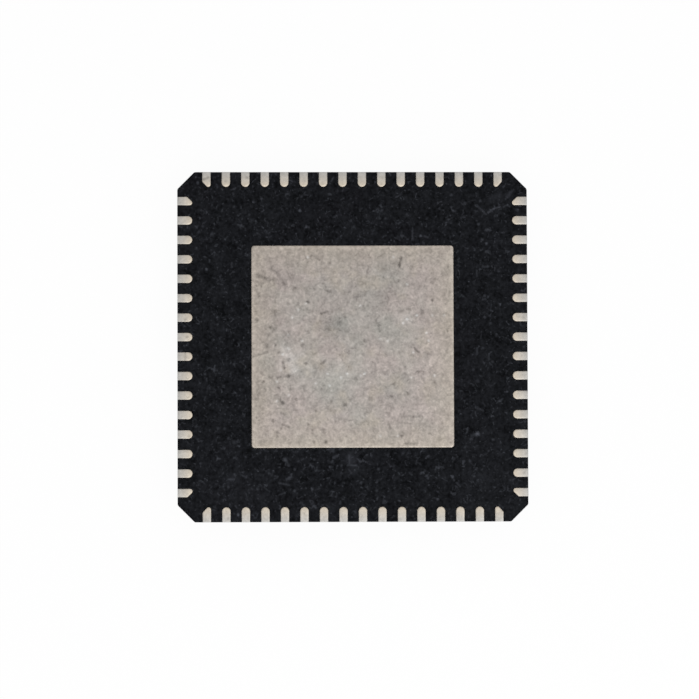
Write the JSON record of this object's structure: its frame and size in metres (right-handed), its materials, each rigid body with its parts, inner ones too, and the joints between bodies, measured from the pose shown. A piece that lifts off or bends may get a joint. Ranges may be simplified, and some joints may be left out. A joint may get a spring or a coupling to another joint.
{
  "type": "integrated circuit",
  "caption": "Square leadless integrated circuit with cut corners, lying solder side up: black moulded body, tinned square pad in the middle and a row of short tinned leads along each edge.",
  "frame": {"origin": "middle of the exposed pad, on the seating plane that the solder faces of the pad and leads share", "axes": "+Z out of the solder side, which faces up because the package lies on its back; +X to the right and +Y to the top of the picture, square to the sides of the package"},
  "size_m": [0.009, 0.009, 0.0009],
  "materials": {
    "moulding_compound": "matte black epoxy moulding compound",
    "tinned_pad": "matte tin plating on copper, mottled and lightly scuffed",
    "tinned_leads": "matte tin plating on copper, bare copper at the punched ends",
    "silicon": "polished silicon",
    "die_glue": "silver-filled epoxy glue",
    "gold_wire": "drawn gold wire"
  },
  "bodies": {
    "root": {"mould_body": "moulding_compound", "die_paddle": "tinned_pad", "die_glue": "die_glue", "die": "silicon", "leads_north": "tinned_leads", "leads_east": "tinned_leads", "leads_south": "tinned_leads", "leads_west": "tinned_leads", "corner_leads_north_east": "tinned_leads", "corner_leads_south_east": "tinned_leads", "corner_leads_south_west": "tinned_leads", "corner_leads_north_west": "tinned_leads", "wires_north": "gold_wire", "wires_east": "gold_wire", "wires_south": "gold_wire", "wires_west": "gold_wire", "corner_wires_north_east": "gold_wire", "corner_wires_south_east": "gold_wire", "corner_wires_south_west": "gold_wire", "corner_wires_north_west": "gold_wire"}
  },
  "joints": []
}
